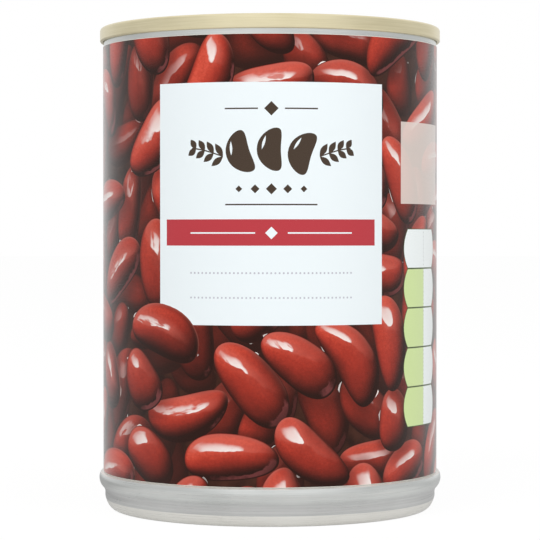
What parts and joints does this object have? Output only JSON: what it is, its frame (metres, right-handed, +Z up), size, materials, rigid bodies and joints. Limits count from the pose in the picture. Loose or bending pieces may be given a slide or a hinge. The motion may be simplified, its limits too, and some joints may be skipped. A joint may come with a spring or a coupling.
{
  "type": "canned beans",
  "caption": "Shut food can with a double-seamed ring-pull end, beaded and necked base, and a paper label printed with red kidney beans round a plain white panel.",
  "frame": {"origin": "centre of the ring that the can stands on, at floor level", "axes": "+Z up along the can's axis, -Y towards the front of the label, +X to the viewer's right"},
  "size_m": [0.0764, 0.0764, 0.107],
  "materials": {
    "tinplate": "bare drawn tinplate, faintly brushed round the can",
    "gold_lacquer": "pale gold lacquer over tinplate",
    "tab_metal": "clear-lacquered steel",
    "label_paper": "glossy coated paper with a full-colour print"
  },
  "bodies": {
    "root": {"can_body": "tinplate", "easy_open_end": "gold_lacquer", "pull_tab": "tab_metal", "label": "label_paper"}
  },
  "joints": []
}
